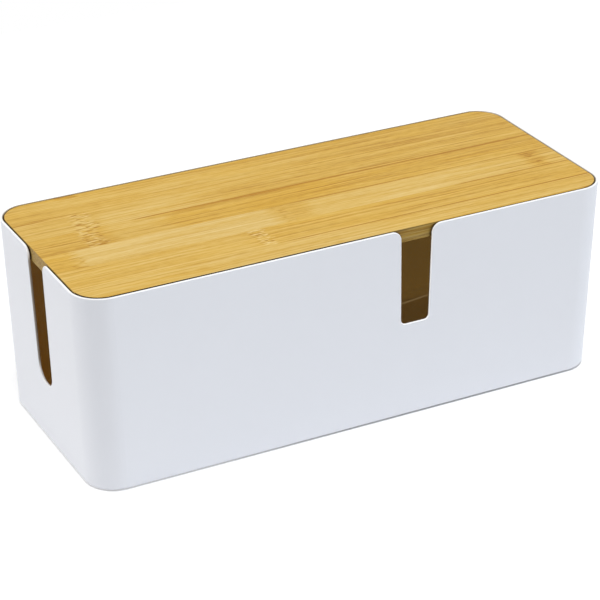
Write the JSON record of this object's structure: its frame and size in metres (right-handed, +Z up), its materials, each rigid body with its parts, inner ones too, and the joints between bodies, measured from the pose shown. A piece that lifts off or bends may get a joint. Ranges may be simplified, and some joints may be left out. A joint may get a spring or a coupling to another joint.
{
  "type": "cable management box",
  "caption": "Moulded box that hides a power strip and its cords, with an open-topped cable slot in the front and one in the left end, and a flush glued-bamboo lid that lifts off.",
  "frame": {"origin": "on the surface it stands on, under the middle of the box", "axes": "+X along the box, towards the end nearer the front slot; -Y is the front; +Z up"},
  "size_m": [0.32, 0.1294, 0.1153],
  "materials": {
    "white_plastic": "satin moulded, fine grain",
    "bamboo": "sanded and sealed, satin",
    "rubber": "matte"
  },
  "bodies": {
    "box": {"box_shell": "white_plastic", "foot_front_left": "rubber", "foot_front_right": "rubber", "foot_rear_left": "rubber", "foot_rear_right": "rubber"},
    "lid": {"lid_strip_1": "bamboo", "lid_strip_2": "bamboo", "lid_strip_3": "bamboo", "lid_strip_4": "bamboo", "lid_strip_5": "bamboo", "lid_strip_6": "bamboo", "lid_strip_7": "bamboo"}
  },
  "joints": [
    {"name": "lid_lift", "type": "slide", "parent": "box", "child": "lid", "axis": [0, 0, 1], "range_m": [0, 0.1]}
  ]
}
